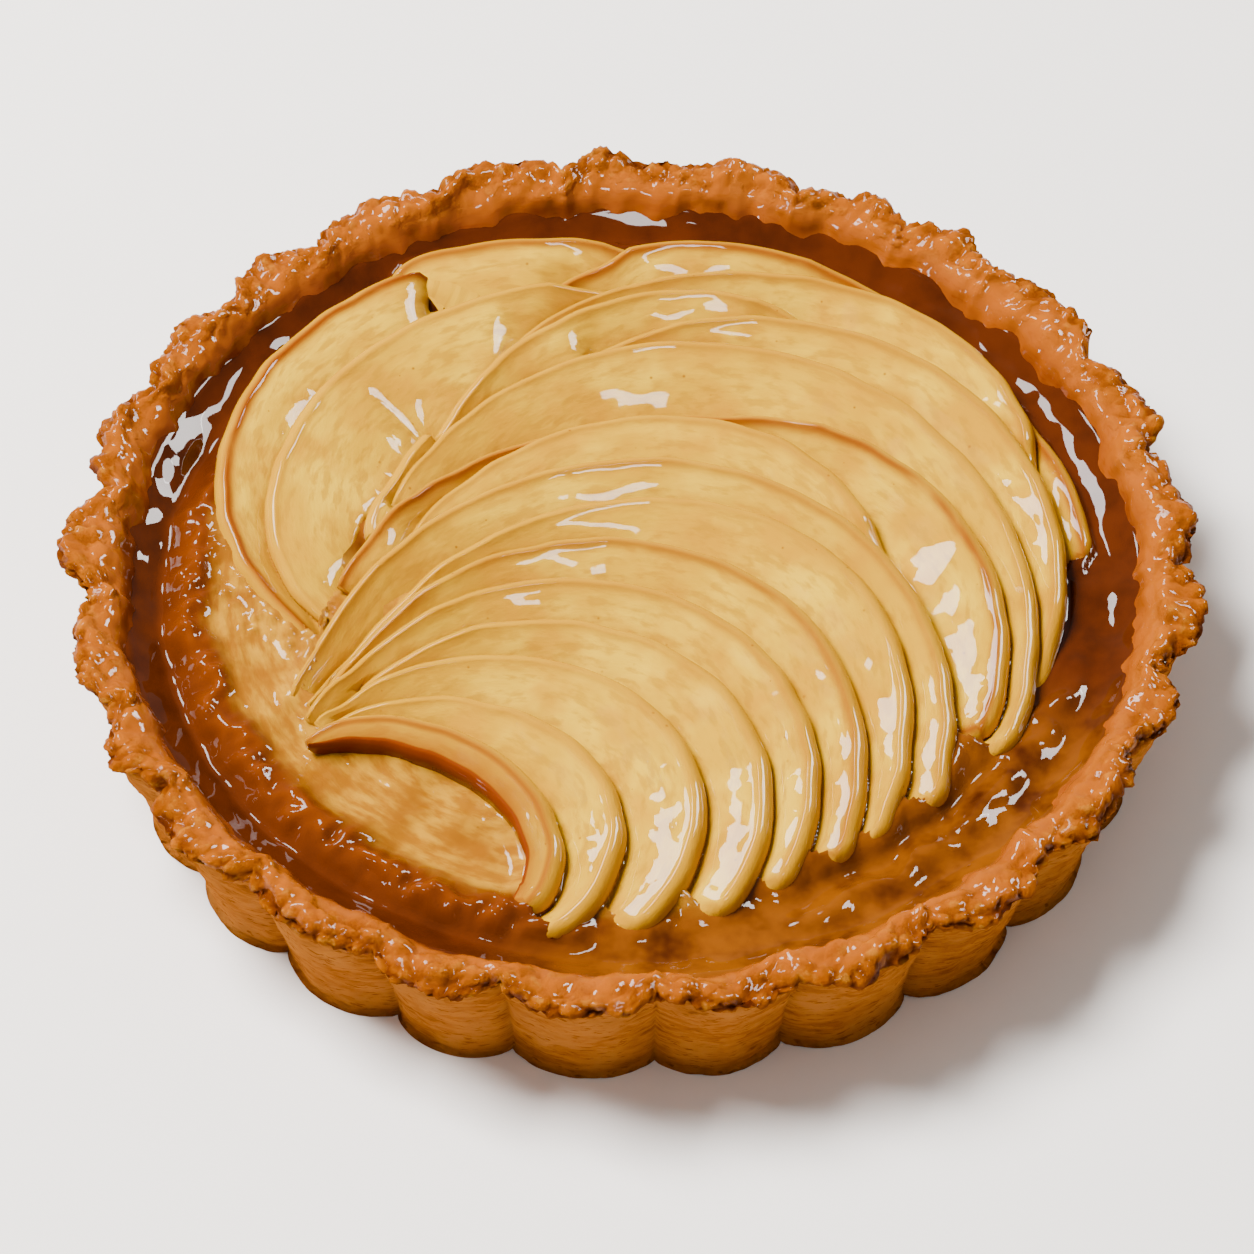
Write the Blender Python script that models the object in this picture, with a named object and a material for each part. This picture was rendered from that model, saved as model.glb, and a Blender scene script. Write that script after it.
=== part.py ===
# French tart: a fluted pastry case, a compote and jelly filling, and half-moon apple slices in a fan.
# Sizes are in millimetres and angles in degrees. The meshes are scaled to metres at the end.

from collections import namedtuple
from math import atan2, cos, hypot, pi, radians, sin

import bmesh
import bpy
from mathutils import Matrix, Vector, noise
from mathutils.bvhtree import BVHTree

MM = 0.001

# Pastry case
RIM_RADIUS = 70.0
FOOT_RADIUS = 63.9
CASE_HEIGHT = 21.0
FLOOR_THICKNESS = 4.0
WALL_FOOT = 57.6
WALL_FOOT_HEIGHT = 5.2
WALL_SLOPE = 0.277
FLUTE_DEPTH = 2.9
FLUTE_ROUNDNESS = 0.7
FLUTE_FADE = 5.5
COLUMNS_PER_FLUTE = 6
FIRST_VALLEY = 171.0
FLUTE_WIDTHS = (
    15, 15, 13, 14.5, 15, 13.5, 15.5, 14, 15, 15, 15, 11.5, 15,
    16, 15, 16, 12.5, 13, 14, 13.5, 16, 14, 13, 14, 15.5,
)  # fmt: skip
CRAG_HEIGHT = 2.2
CRAG_LIFT = 0.6
CRAG_SPACING = 4.7
RIM_SWELL = 1.2
RIM_SWELL_SPACING = 19.0

# Filling
FILLING_LEVEL = 15.0
FILLING_COLUMNS = 88
FILLING_RINGS = (59.6, 57.2, 55.0, 53.0, 51.0, 48.5, 45.0, 41.0, 36.5, 31.5, 26.0, 20.0, 13.0, 6.0)
MOUND_HEIGHT = 18.6
HEAP_MARGIN = 3.0
ROLL_RADIUS = 53.0
ROLL_WIDTH = 3.4
ROLL_HEIGHT = 2.4
ROLL_START = 160.0
ROLL_END = 262.0
ROLL_FADE = 12.0
RIPPLE_HEIGHT = 0.3
RIPPLE_SPACING = 6.0
CLIMB_RADIUS = 55.0
CLIMB_SLOPE = 0.2
FIT_GAP = 0.35

# What every slice shares
STATIONS = 19
STATION_CROWDING = 1.35
RING_POINTS = 9
PEEL_THICKNESS = 2.3
CORE_THICKNESS = 1.3
PEEL_OVERHANG = 1.7
CHEEK_REACH = 0.8
CHEEK_DROP = 0.4
THIN_TIP = 0.25
BLUNT_TIP = 0.7
POINTED_END = 0.1
BLUNT_END = 0.6
CORE_ROUND = 0.3
BEAD_ROUNDNESS = 0.7
STEEPEST_FACE = 1.0
FACE_SLOPE = 0.33
FACE_STEPS = (0.0, 0.35, 0.7)
TUCK = 2.4
END_TUCK = 0.02
LAP_MARGIN = 0.8
LEAST_FACE = 0.8
MARCH = 0.25
EDGE_SAMPLES = 80
PRESS_STEP = 0.12
PRESS_ROUNDS = 25
BELOW_ALL = -5.0
OPEN_SKY = 1000.0

# The points of a slice's ring that go down with each one, so that the slice keeps its thickness
RING_PARTNERS = {
    0: (0, 7, 8), 1: (1, 6), 2: (2, 6), 3: (3, 5), 4: (4, 5),
    5: (4, 5), 6: (1, 2, 6), 7: (0, 7, 8), 8: (0, 7, 8),
}  # fmt: skip

# One half-moon slice: where its left tip lies, the way its straight edge runs, how long that edge is, how far
# the peel bows out from it, how much it leans along the edge, the heights of left tip, crest and right tip,
# and the widest band of face that can show.
Slice = namedtuple("Slice", "x y heading chord bulge slant left crest right band")

# In the order in which they lie, the top one first.
LOWER_FAN = (
    Slice(-38.5, -29.0, -42.0, 33.5, 12.0, 0.17, 18.3, 19.3, 16.0, 5.0),
    Slice(-37.5, -27.0, -45.5, 39.0, 19.0, 0.21, 18.1, 20.2, 16.0, 16.0),
    Slice(-37.5, -25.5, -37.5, 47.0, 24.0, 0.16, 17.9, 21.0, 16.0, 16.0),
    Slice(-37.5, -25.5, -29.5, 54.0, 27.5, 0.12, 17.7, 21.5, 16.0, 16.0),
    Slice(-38.5, -24.5, -23.5, 60.0, 31.0, 0.09, 17.5, 21.8, 16.0, 16.0),
    Slice(-38.5, -24.0, -18.5, 65.0, 35.0, 0.07, 17.3, 22.0, 16.0, 16.0),
    Slice(-38.5, -22.0, -16.5, 69.0, 40.0, 0.14, 17.1, 22.0, 16.0, 16.0),
    Slice(-40.5, -20.5, -12.0, 77.0, 42.0, 0.07, 16.9, 22.0, 16.0, 16.0),
)
UPPER_FAN = (
    Slice(-27.0, 4.0, -34.0, 61.0, 36.0, 0.01, 18.0, 20.8, 16.0, 16.0),
    Slice(-35.5, -4.0, -16.0, 79.5, 39.0, 0.11, 17.8, 21.5, 16.0, 16.0),
    Slice(-29.5, 9.5, -27.0, 82.0, 42.0, -0.05, 17.6, 21.2, 16.0, 16.0),
    Slice(-26.0, 12.0, -23.5, 79.5, 43.0, 0.03, 17.4, 21.0, 16.0, 16.0),
    Slice(-29.5, -10.0, 14.0, 70.0, 43.5, 0.16, 17.0, 20.6, 16.0, 16.0),
    Slice(-17.5, 32.5, -23.0, 68.5, 28.5, 0.14, 17.0, 20.2, 16.0, 16.0),
)
LEFT_GROUP = (
    Slice(-31.5, 10.0, 49.5, 37.5, 4.5, -0.29, 16.5, 18.3, 17.0, 9.0),
    Slice(-37.0, -8.0, 39.5, 72.0, 29.5, -0.10, 16.0, 20.0, 17.5, 12.5),
    Slice(-22.0, 14.5, -9.0, 79.0, 43.0, -0.24, 16.5, 19.6, 16.0, 16.0),
    Slice(-22.5, 51.0, 5.0, 24.5, 4.5, -0.14, 16.5, 18.0, 16.5, 6.0),
    Slice(-27.0, -18.0, 57.0, 82.5, 43.0, -0.17, 15.8, 18.8, 16.5, 10.0),
)

PASTRY_COLOUR = (0.53, 0.25, 0.07)
FILLING_COLOUR = (0.42, 0.14, 0.015)
FLESH_COLOUR = (0.78, 0.55, 0.16)


def new_material(name, colour, roughness):
    material = bpy.data.materials.new(name)
    material.use_nodes = True
    shader = material.node_tree.nodes["Principled BSDF"]
    shader.inputs["Base Color"].default_value = (*colour, 1.0)
    shader.inputs["Roughness"].default_value = roughness
    shader.inputs["Metallic"].default_value = 0.0
    return material


def add_object(name, bm, material, collection):
    bmesh.ops.recalc_face_normals(bm, faces=bm.faces)
    if bm.calc_volume(signed=True) < 0.0:
        bmesh.ops.reverse_faces(bm, faces=bm.faces)
    bmesh.ops.transform(bm, matrix=Matrix.Scale(MM, 4), verts=bm.verts)
    mesh = bpy.data.meshes.new(name)
    bm.to_mesh(mesh)
    bm.free()
    mesh.shade_smooth()
    mesh.materials.append(material)
    obj = bpy.data.objects.new(name, mesh)
    collection.objects.link(obj)
    return obj


def turned(profile, columns):
    """A bmesh of the profile turned once round Z. Its points are (radius, height, share), and the share stays
    on each vertex in the layer that comes back with it."""
    bm = bmesh.new()
    layer = bm.verts.layers.float.new("share")
    verts = []
    for radius, height, share in profile:
        vert = bm.verts.new((radius, 0.0, height))
        vert[layer] = share
        verts.append(vert)
    edges = [bm.edges.new(pair) for pair in zip(verts, verts[1:])]
    bmesh.ops.spin(
        bm, geom=verts + edges, cent=(0, 0, 0), axis=(0, 0, 1), angle=2 * pi, steps=columns, use_merge=True
    )
    bmesh.ops.remove_doubles(bm, verts=bm.verts, dist=0.001)
    return bm, layer


# Pastry case


def wall_radius(height):
    """How far out the inside of the wall lies at this height."""
    return WALL_FOOT + WALL_SLOPE * (height - WALL_FOOT_HEIGHT)


def flute_columns():
    """For each column of the case, its angle and how far out it lies, from 0 in a valley to 1 on a crest."""
    columns = []
    valley = FIRST_VALLEY
    for width in FLUTE_WIDTHS:
        for step in range(COLUMNS_PER_FLUTE):
            share = step / COLUMNS_PER_FLUTE
            columns.append((radians(valley + width * share), sin(pi * share) ** FLUTE_ROUNDNESS))
        valley += width
    return columns


def make_case(material, collection):
    # Radius, height, and how rough the crumb is there
    profile = (
        (0.0, 0.0, 0.0),
        (FOOT_RADIUS - 0.6, 0.0, 0.0),
        (FOOT_RADIUS, 0.8, 0.1),
        (65.4, 8.0, 0.25),
        (67.9, 15.6, 0.35),
        (69.1, 18.4, 0.7),
        (RIM_RADIUS, 19.6, 1.0),
        (69.3, 20.7, 1.0),
        (67.4, CASE_HEIGHT + 0.2, 1.0),
        (65.2, CASE_HEIGHT - 0.2, 1.0),
        (63.5, 19.7, 0.8),
        (62.2, 18.0, 0.4),
        (wall_radius(14.6), 14.6, 0.0),
        (wall_radius(WALL_FOOT_HEIGHT), WALL_FOOT_HEIGHT, 0.0),
        (WALL_FOOT - 1.4, FLOOR_THICKNESS, 0.0),
        (0.0, FLOOR_THICKNESS, 0.0),
    )
    columns = flute_columns()
    bm, layer = turned(profile, len(columns))
    for vert in bm.verts:
        radius = hypot(vert.co.x, vert.co.y)
        if radius < 1.0:
            continue
        turn = atan2(vert.co.y, vert.co.x) / (2 * pi)
        angle, swell = columns[round(turn * len(columns)) % len(columns)]
        height = vert.co.z
        # The flutes are pressed into the outside only, and fade out across the top of the rim.
        outside = min(max((radius - wall_radius(height)) / FLUTE_FADE, 0.0), 1.0)
        radius -= FLUTE_DEPTH * (1.0 - swell) * outside
        around = Vector((cos(angle), sin(angle), 0.0))
        place = around * radius + Vector((0.0, 0.0, height))
        crag = vert[layer] * CRAG_HEIGHT
        rise = vert[layer] * RIM_SWELL * noise.noise(around * RIM_RADIUS / RIM_SWELL_SPACING)
        place += around * crag * noise.noise(place / CRAG_SPACING)
        place.z += rise + CRAG_LIFT * crag * noise.noise(place / CRAG_SPACING + Vector((31.0, 7.0, 3.0)))
        vert.co = place
    return add_object("crust", bm, material, collection)


# Slices of apple


def bead(piece, t):
    """A point on the upper edge of the peel, from the left tip at t = 0 to the right tip at t = 1."""
    out = piece.bulge * sin(pi * t)
    along = piece.chord * (1.0 - cos(pi * t)) / 2 + piece.slant * out
    heading = radians(piece.heading)
    lift = max(sin(pi * t), 0.0) ** BEAD_ROUNDNESS
    level = piece.left * (1.0 - t) + piece.right * t
    return Vector((
        piece.x + along * cos(heading) - out * sin(heading),
        piece.y + along * sin(heading) + out * cos(heading),
        level + (piece.crest - (piece.left + piece.right) / 2) * lift,
    ))


def inward(piece, t):
    """The level direction from the peel to the core."""
    step = 0.004
    run = bead(piece, min(t + step, 1.0)) - bead(piece, max(t - step, 0.0))
    return Vector((run.y, -run.x, 0.0)).normalized()


def fullness(t, left, right):
    """1 along the middle of a slice, falling to these shares at its left and right tips."""
    least = left if t < 0.5 else right
    return least + (1.0 - least) * max(sin(pi * t), 0.0) ** 0.5


def underside(laid, place):
    """The lowest height at which something laid earlier covers this place, or None."""
    start = Vector((place.x, place.y, BELOW_ALL))
    hits = [tree.ray_cast(start, Vector((0.0, 0.0, 1.0)))[0] for tree in laid]
    return min((hit.z for hit in hits if hit), default=None)


def ceiling(laid, place, margin):
    """How high a surface may reach at this place and round it, with the gap kept to what covers it."""
    ring = [Vector((margin * cos(k * pi / 4), margin * sin(k * pi / 4), 0.0)) for k in range(8)]
    covers = [underside(laid, place + offset) for offset in [Vector()] + ring]
    return min((cover for cover in covers if cover is not None), default=OPEN_SKY) - FIT_GAP


def shown_range(piece, laid):
    """The stretch of the peel edge that stands clear of what covers it, and a little more at each end."""
    samples = [k / EDGE_SAMPLES for k in range(EDGE_SAMPLES + 1)]
    bare = [t for t in samples if ceiling(laid, bead(piece, t), LAP_MARGIN) > CASE_HEIGHT * 2]
    return max(min(bare) - END_TUCK, 0.0), min(max(bare) + END_TUCK, 1.0)


def face(piece, laid, t):
    """How wide the face shows at t, how far the slice reaches under its cover, and its height at the cover."""
    top = bead(piece, t)
    into = inward(piece, t)
    band = piece.band * fullness(t, POINTED_END, BLUNT_END)
    shown = 0.0
    while shown < band and underside(laid, top + into * shown) is None:
        shown += MARCH
    if shown >= band:
        return band, band, top.z - FACE_SLOPE * band
    cover = ceiling(laid, top + into * (shown + MARCH), LAP_MARGIN)
    shown = max(shown - LAP_MARGIN, LEAST_FACE)
    reach = shown + TUCK * fullness(t, THIN_TIP, BLUNT_TIP)
    return shown, reach, min(cover, top.z - FACE_SLOPE * shown)


def smoothed(rows):
    """Each row averaged with its neighbours; the ends stay."""
    middle = [
        tuple((before + 2.0 * here + after) / 4.0 for before, here, after in zip(*three))
        for three in zip(rows, rows[1:], rows[2:])
    ]
    return [rows[0], *middle, rows[-1]]


def section(piece, laid, t, shown, width, low):
    """The slice cut across at t: a ring of points round a plate that is thick at the peel and thin at the core."""
    top = bead(piece, t)
    into = inward(piece, t)
    full = fullness(t, THIN_TIP, BLUNT_TIP)
    high = min(top.z, low + STEEPEST_FACE * shown)
    runs = [share * shown for share in FACE_STEPS] + [max(shown - CORE_ROUND * full, 0.0), width]
    upper = []
    for run in runs:
        place = top + into * run
        place.z = high + (low - high) * min(run / shown, 1.0) - FACE_SLOPE * max(run - shown, 0.0)
        place.z = min(place.z, ceiling(laid, place, LAP_MARGIN))
        upper.append(place)
    down = Vector((0.0, 0.0, -1.0))
    peel = PEEL_THICKNESS * full
    core = CORE_THICKNESS * full
    outer = -into * PEEL_OVERHANG * full
    cheek = upper[0] + outer * CHEEK_REACH + down * peel * CHEEK_DROP
    foot = upper[0] + outer + down * peel
    cheek.z = min(cheek.z, ceiling(laid, cheek, LAP_MARGIN))
    foot.z = min(foot.z, cheek.z - peel / 2)
    upper[4] += down * CORE_ROUND * full
    return upper + [upper[4] + down * core, upper[2] + down * (peel + core) / 2, foot, cheek]


def loft(rings):
    """A closed bmesh through rings of points, with a flat face on each end."""
    bm = bmesh.new()
    rows = [[bm.verts.new(place) for place in ring] for ring in rings]
    for row, following in zip(rows, rows[1:]):
        for k in range(len(row)):
            nearby = (k + 1) % len(row)
            bm.faces.new((row[k], row[nearby], following[nearby], following[k]))
    bm.faces.new(rows[0])
    bm.faces.new(reversed(rows[-1]))
    return bm


def press_down(bm, laid, group):
    """Lowers vertices until bm is clear of everything laid. group(index) gives those that move together."""
    bmesh.ops.triangulate(bm, faces=bm.faces)
    bm.verts.index_update()
    bm.verts.ensure_lookup_table()
    tree = BVHTree.FromBMesh(bm)
    for _ in range(PRESS_ROUNDS):
        touching = {pair[0] for other in laid for pair in tree.overlap(other)}
        bm.faces.ensure_lookup_table()
        lowered = {index for face_index in touching for vert in bm.faces[face_index].verts for index in group(vert.index)}
        for index in lowered:
            bm.verts[index].co.z -= PRESS_STEP
        tree = BVHTree.FromBMesh(bm)
        if not touching:
            break
    return tree


def ring_group(index):
    station, point = divmod(index, RING_POINTS)
    return [station * RING_POINTS + partner for partner in RING_PARTNERS[point]]


def make_slices(material, collection):
    """Lays the slices from the top one down. Each runs from its peel to just under those that cover it."""
    laid = []
    for number, piece in enumerate(LOWER_FAN + UPPER_FAN + LEFT_GROUP, 1):
        start, end = shown_range(piece, laid)
        # The stations crowd towards the right end, where the peel turns fastest.
        shares = [(1.0 - k / (STATIONS - 1)) ** STATION_CROWDING for k in range(STATIONS)]
        stops = [end - (end - start) * share for share in shares]
        faces = smoothed(smoothed([face(piece, laid, t) for t in stops]))
        bm = loft([section(piece, laid, t, *across) for t, across in zip(stops, faces)])
        laid.append(press_down(bm, laid, ring_group))
        add_object(f"apple_slice_{number:02d}", bm, material, collection)
    return laid


# Filling


def filling_height(x, y):
    """The jelly's own surface: level, with a thick roll along its left and front left, and climbing the wall."""
    radius = hypot(x, y)
    angle = atan2(y, x) % (2 * pi)
    along = min(max((angle - radians(ROLL_START)) / radians(ROLL_FADE), 0.0), 1.0)
    along *= min(max((radians(ROLL_END) - angle) / radians(ROLL_FADE), 0.0), 1.0)
    across = max(1.0 - ((radius - ROLL_RADIUS) / ROLL_WIDTH) ** 2, 0.0)
    ripple = RIPPLE_HEIGHT * noise.noise(Vector((x, y, 0.0)) / RIPPLE_SPACING)
    climb = CLIMB_SLOPE * max(radius - CLIMB_RADIUS, 0.0)
    return FILLING_LEVEL + ROLL_HEIGHT * along * across**0.6 + ripple + climb


def make_filling(laid, material, collection):
    bottom = FLOOR_THICKNESS + FIT_GAP
    profile = [(0.0, bottom, 0.0), (WALL_FOOT - 1.8, bottom, 0.0), (WALL_FOOT - FIT_GAP, 5.6, 0.0)]
    profile += [(radius, FILLING_LEVEL, 1.0) for radius in FILLING_RINGS] + [(0.0, FILLING_LEVEL, 1.0)]
    bm, layer = turned(profile, FILLING_COLUMNS)
    top = set()
    bm.verts.index_update()
    for vert in bm.verts:
        if vert[layer] < 0.5:
            continue
        top.add(vert.index)
        own = filling_height(vert.co.x, vert.co.y)
        # Under the fruit the compote is heaped up to it.
        heap = MOUND_HEIGHT if underside(laid, vert.co) else own
        vert.co.z = min(heap, ceiling(laid, vert.co, HEAP_MARGIN))
        most = wall_radius(vert.co.z) - 2 * FIT_GAP
        if hypot(vert.co.x, vert.co.y) > most:
            vert.co.xy = vert.co.xy.normalized() * most
    press_down(bm, laid, lambda index: [index] if index in top else [])
    return add_object("filling", bm, material, collection)


for old in list(bpy.data.objects):
    bpy.data.objects.remove(old, do_unlink=True)

tart = bpy.data.collections.new("french_tart")
bpy.context.scene.collection.children.link(tart)

make_case(new_material("baked_pastry", PASTRY_COLOUR, 0.6), tart)
slices = make_slices(new_material("baked_flesh", FLESH_COLOUR, 0.3), tart)
make_filling(slices, new_material("amber_jelly", FILLING_COLOUR, 0.15), tart)
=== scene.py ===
from bisect import bisect_left
from collections import namedtuple
from math import atan2, cos, degrees, exp, hypot, pi, radians, sin, sqrt

import bmesh
import bpy
from mathutils import Matrix, Vector, noise
from mathutils.bvhtree import BVHTree


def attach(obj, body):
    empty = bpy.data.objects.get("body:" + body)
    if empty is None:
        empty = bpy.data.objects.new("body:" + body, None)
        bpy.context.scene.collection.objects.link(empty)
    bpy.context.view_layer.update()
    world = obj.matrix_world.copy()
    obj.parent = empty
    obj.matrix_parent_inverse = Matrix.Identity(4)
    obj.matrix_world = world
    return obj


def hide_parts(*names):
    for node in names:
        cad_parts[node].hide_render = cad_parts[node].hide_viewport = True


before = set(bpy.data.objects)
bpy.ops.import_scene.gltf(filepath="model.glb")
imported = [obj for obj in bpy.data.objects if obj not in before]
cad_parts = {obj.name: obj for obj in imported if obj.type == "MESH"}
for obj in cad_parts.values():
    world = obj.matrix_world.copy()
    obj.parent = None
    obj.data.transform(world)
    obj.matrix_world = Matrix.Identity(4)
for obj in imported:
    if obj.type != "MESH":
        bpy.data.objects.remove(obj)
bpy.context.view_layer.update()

# The pastry case: short dough pressed into a fluted tin, blind baked till the wall is tan and the torn rim
# brown, then brushed with glaze, which lies in dark sheets down the inside and in patches over the rim.
# All shapes are worked out in millimetres and made metres by finished().
MM = 0.001
RIM_RADIUS = 70.0
CASE_HEIGHT = 21.0
HIGHEST = 22.3
WALL_FOOT = 57.6
WALL_FOOT_HEIGHT = 5.2
WALL_SLOPE = 0.277
FLUTE_DEPTH = 2.9
FLUTE_ROUNDNESS = 0.7
FLUTE_FADE = 5.5
COLUMNS_PER_FLUTE = 38
FIRST_VALLEY = 171.0
FLUTE_WIDTHS = (
    15, 15, 13, 14.5, 15, 13.5, 15.5, 14, 15, 15, 15, 11.5, 15,
    16, 15, 16, 12.5, 13, 14, 13.5, 16, 14, 13, 14, 15.5,
)  # fmt: skip
CRAG_HEIGHT = 2.2
CRAG_SPACING = 4.7
RIM_SWELL = 1.2
RIM_SWELL_SPACING = 19.0
CRUMB_SPACING = 2.5
FINE_CRUMB_SPACING = 1.0
# The crumb: how far its lumps stand up and its cracks go down, and how wide a crack is in spacings
LUMP_HEIGHT = 0.95
FINE_LUMP_HEIGHT = 0.45
LUMP_REACH = 0.75
CRACK_DEPTH = 0.5
CRACK_WIDTH = 0.12
FINE_CRACK_DEPTH = 0.2
FINE_CRACK_WIDTH = 0.2
# The outer wall: its level layers and its slow waves
LAYER_HEIGHT = 0.25
LAYER_SPACING = 0.8
WALL_WAVE_HEIGHT = 0.3
WALL_WAVE_SPACING = 3.5
# The glaze: how much its runs, sags and ripples stand out, and where it turns from thin to thick
RUN_HEIGHT = 0.5
SAG_HEIGHT = 0.9
RIPPLE_HEIGHT = 0.25
THIN_GLAZE_LEVEL = 20.6
THICK_GLAZE_DROP = 3.2
# The profile is fine beyond the first radius, and coarse under the filling but for the corner of the floor
PROFILE_STEP = 0.5
FINE_FROM = 60.0
CORNER_FROM, CORNER_TO, CORNER_TOP = 55.5, 58.0, 6.0

# Radius, height, share of crumb, share of glaze: from under the middle, up the outside, down the inside
CASE_PROFILE = (
    (0.0, 0.0, 0.0, 0.0), (40.0, 0.0, 0.0, 0.0), (62.6, 0.0, 0.05, 0.0), (63.7, 0.5, 0.15, 0.0),
    (64.3, 3.0, 0.15, 0.0), (65.4, 8.0, 0.15, 0.0), (66.7, 12.4, 0.2, 0.0), (67.7, 16.0, 0.25, 0.0),
    (68.3, 17.9, 0.4, 0.0), (69.2, 18.7, 1.0, 0.1), (69.6, 19.5, 1.0, 0.2), (68.7, 20.5, 1.0, 0.5),
    (67.3, 20.9, 1.0, 0.65), (65.6, 20.6, 0.9, 0.75), (64.2, 19.9, 0.6, 0.85), (63.0, 18.8, 0.3, 1.0),
    (62.0, 17.2, 0.15, 1.0), (61.0, 15.4, 0.1, 1.0), (60.0, 13.2, 0.0, 1.0), (57.6, 5.2, 0.0, 0.0),
    (56.0, 4.0, 0.0, 0.0), (0.0, 4.0, 0.0, 0.0),
)  # fmt: skip


def wall_radius(height):
    return WALL_FOOT + WALL_SLOPE * (height - WALL_FOOT_HEIGHT)


def clamped(value, low=0.0, high=1.0):
    return min(max(value, low), high)


def hump(distance, width):
    """1 at no distance, falling smoothly to 0 at about twice this width."""
    return exp(-((distance / width) ** 2))


def drawn_through(points, step):
    """The points with more between them, a step apart, on a smooth line through them all."""
    fine = [points[0]]
    padded = (points[0], *points, points[-1])
    for before, here, there, after in zip(padded, padded[1:], padded[2:], padded[3:]):
        count = max(round(hypot(there[0] - here[0], there[1] - here[1]) / step), 1)
        for k in range(1, count + 1):
            u = k / count
            fine.append(tuple(
                0.5 * (
                    2 * b
                    + (c - a) * u
                    + (2 * a - 5 * b + 4 * c - d) * u**2
                    + (3 * b - a - 3 * c + d) * u**3
                )
                for a, b, c, d in zip(before, here, there, after)
            ))
    return fine


def turned(profile, columns):
    """The profile turned once round Z, as a bmesh. The layer holds each vertex's place in the profile."""
    bm = bmesh.new()
    layer = bm.verts.layers.int.new("ring")
    rows = len(profile) - 1
    bmesh.ops.create_grid(bm, x_segments=rows, y_segments=columns, size=0.5)
    for vert in bm.verts:
        turn = 2 * pi * (round((vert.co.y + 0.5) * columns) % columns) / columns
        vert[layer] = round((vert.co.x + 0.5) * rows)
        radius, height = profile[vert[layer]]
        vert.co = (radius * cos(turn), radius * sin(turn), height)
    bmesh.ops.remove_doubles(bm, verts=bm.verts, dist=0.001)
    return bm, layer


def float_layers(bm, *names):
    return [bm.verts.layers.float.new(name) for name in names]


def finished(name, bm, material):
    """Makes the object, in metres, with its faces pointing out."""
    bmesh.ops.recalc_face_normals(bm, faces=bm.faces)
    if bm.calc_volume(signed=True) < 0.0:
        bmesh.ops.reverse_faces(bm, faces=bm.faces)
    bmesh.ops.transform(bm, matrix=Matrix.Scale(MM, 4), verts=bm.verts)
    mesh = bpy.data.meshes.new(name)
    bm.to_mesh(mesh)
    bm.free()
    mesh.shade_smooth()
    mesh.materials.append(material)
    obj = bpy.data.objects.new(name, mesh)
    bpy.context.scene.collection.objects.link(obj)
    return obj


def node(tree, kind, sockets=(), **settings):
    """Adds a shader node. sockets maps a socket's name or number to a value or to another node's output."""
    made = tree.nodes.new(kind)
    for name, value in settings.items():
        setattr(made, name, value)
    for socket, value in dict(sockets).items():
        if isinstance(value, bpy.types.NodeSocket):
            tree.links.new(value, made.inputs[socket])
        else:
            made.inputs[socket].default_value = value
    return made


def new_group(name, inputs, outputs):
    """A shader node group. inputs and outputs are (name, type) or (name, type, default)."""
    group = bpy.data.node_groups.new(name, "ShaderNodeTree")
    for in_out, sockets in (("INPUT", inputs), ("OUTPUT", outputs)):
        for title, kind, *default in sockets:
            socket = group.interface.new_socket(title, in_out=in_out, socket_type="NodeSocket" + kind)
            if default:
                socket.default_value = default[0]
    return group, group.nodes.new("NodeGroupInput"), group.nodes.new("NodeGroupOutput")


def new_material(name, **constants):
    material = bpy.data.materials.new(name)
    material.use_nodes = True
    shader = material.node_tree.nodes["Principled BSDF"]
    for socket, value in constants.items():
        shader.inputs[socket.replace("_", " ")].default_value = value
    return material, material.node_tree, shader


def mixed(tree, share, first, second):
    """The output colour of a Mix node. Colours may be outputs or plain (r, g, b)."""
    colours = {
        number: colour if isinstance(colour, bpy.types.NodeSocket) else (*colour, 1.0)
        for number, colour in ((6, first), (7, second))
    }
    return node(tree, "ShaderNodeMix", {0: share, **colours}, data_type="RGBA").outputs[2]


def sums(tree, operation, first, second, third=0.0, clamp=False):
    terms = {0: first, 1: second, 2: third}
    return node(tree, "ShaderNodeMath", terms, operation=operation, use_clamp=clamp).outputs[0]


def eased(tree, value, low, high, start, end):
    """start where the value is low, end where it is high, and a smooth ramp between them."""
    sockets = {0: value, 1: low, 2: high, 3: start, 4: end}
    return node(tree, "ShaderNodeMapRange", sockets, interpolation_type="SMOOTHSTEP").outputs[0]


def cloud(tree, vector, scale, detail, roughness=0.5):
    sockets = {"Vector": vector, "Scale": scale, "Detail": detail, "Roughness": roughness}
    return node(tree, "ShaderNodeTexNoise", sockets).outputs[0]


def bumped(tree, shader, height, strength, distance):
    bump = node(tree, "ShaderNodeBump", {"Height": height, "Strength": strength, "Distance": distance})
    tree.links.new(bump.outputs[0], shader.inputs["Normal"])


def painted(tree, name, output="Fac"):
    """What the mesh carries under this name."""
    return node(tree, "ShaderNodeAttribute", attribute_name=name).outputs[output]


def coordinates(tree, scale=(1.0, 1.0, 1.0)):
    """Object coordinates in millimetres, stretched by scale."""
    here = node(tree, "ShaderNodeTexCoord").outputs["Object"]
    return node(tree, "ShaderNodeMapping", {"Vector": here, "Scale": [s / MM for s in scale]}).outputs[0]


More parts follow.
